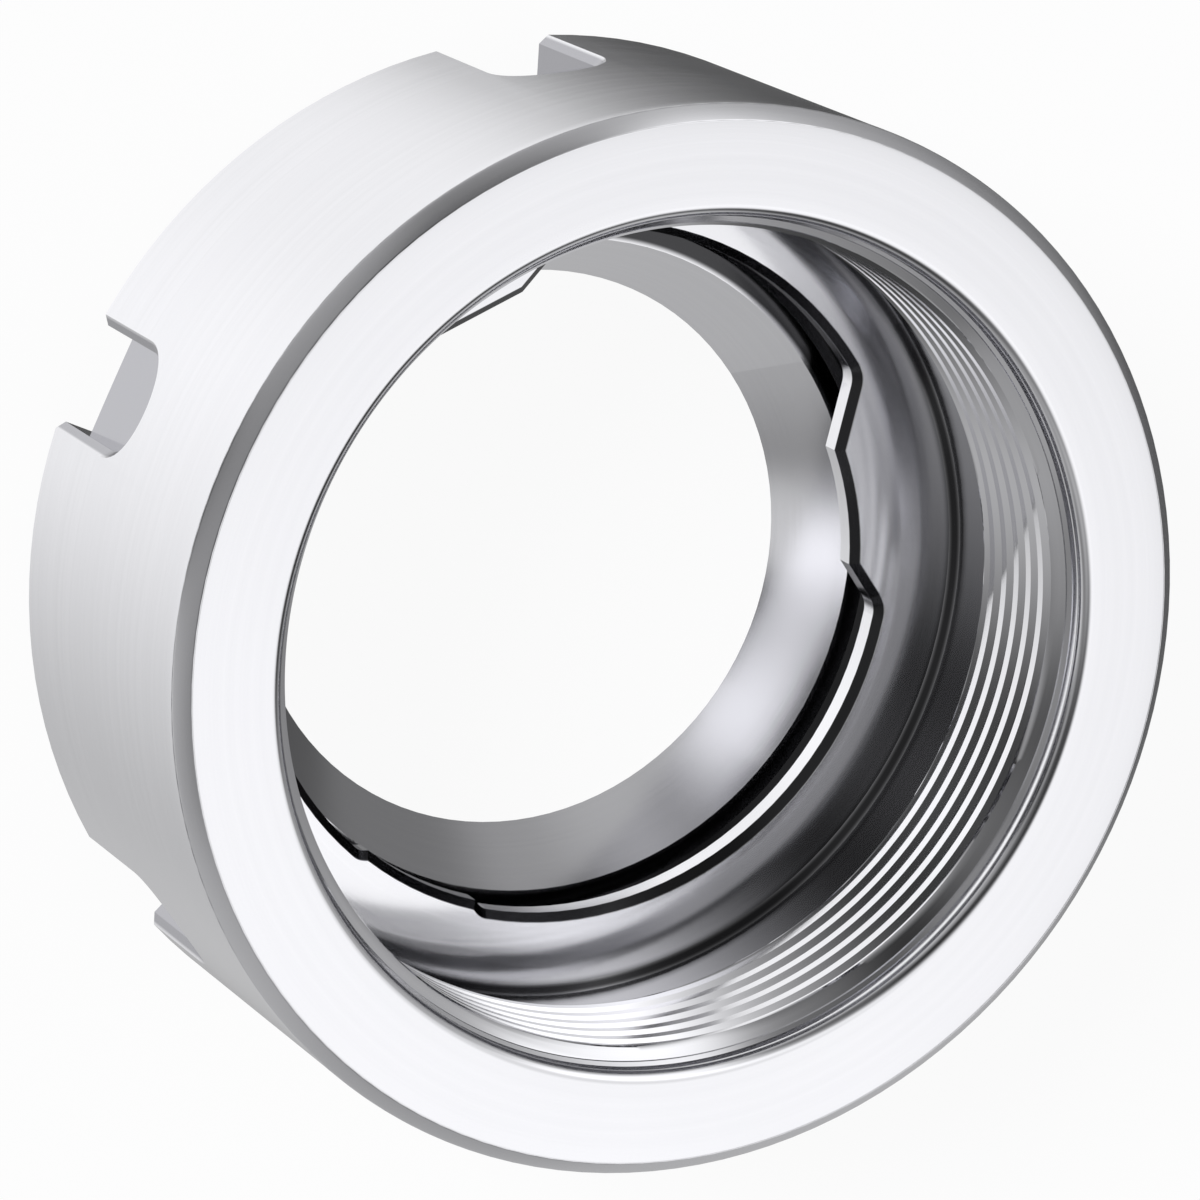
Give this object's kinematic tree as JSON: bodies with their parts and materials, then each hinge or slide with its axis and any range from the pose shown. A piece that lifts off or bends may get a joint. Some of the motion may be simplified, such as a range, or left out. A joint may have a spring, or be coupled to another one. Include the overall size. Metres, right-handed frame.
{
  "type": "collet nut",
  "caption": "Round clamping nut with an internal thread, a tabbed lip and a conical seat inside, and spanner slots round its front edge.",
  "frame": {"origin": "centre of the slotted front face, which the nut stands on", "axes": "+Z along the nut's axis towards the threaded end, +X through the middle of one spanner slot"},
  "size_m": [0.063, 0.063, 0.025],
  "materials": {
    "ground_steel": "turned, hardened and ground steel, bright and bare, with fine turning marks"
  },
  "bodies": {
    "root": {"nut_body": "ground_steel"}
  },
  "joints": []
}
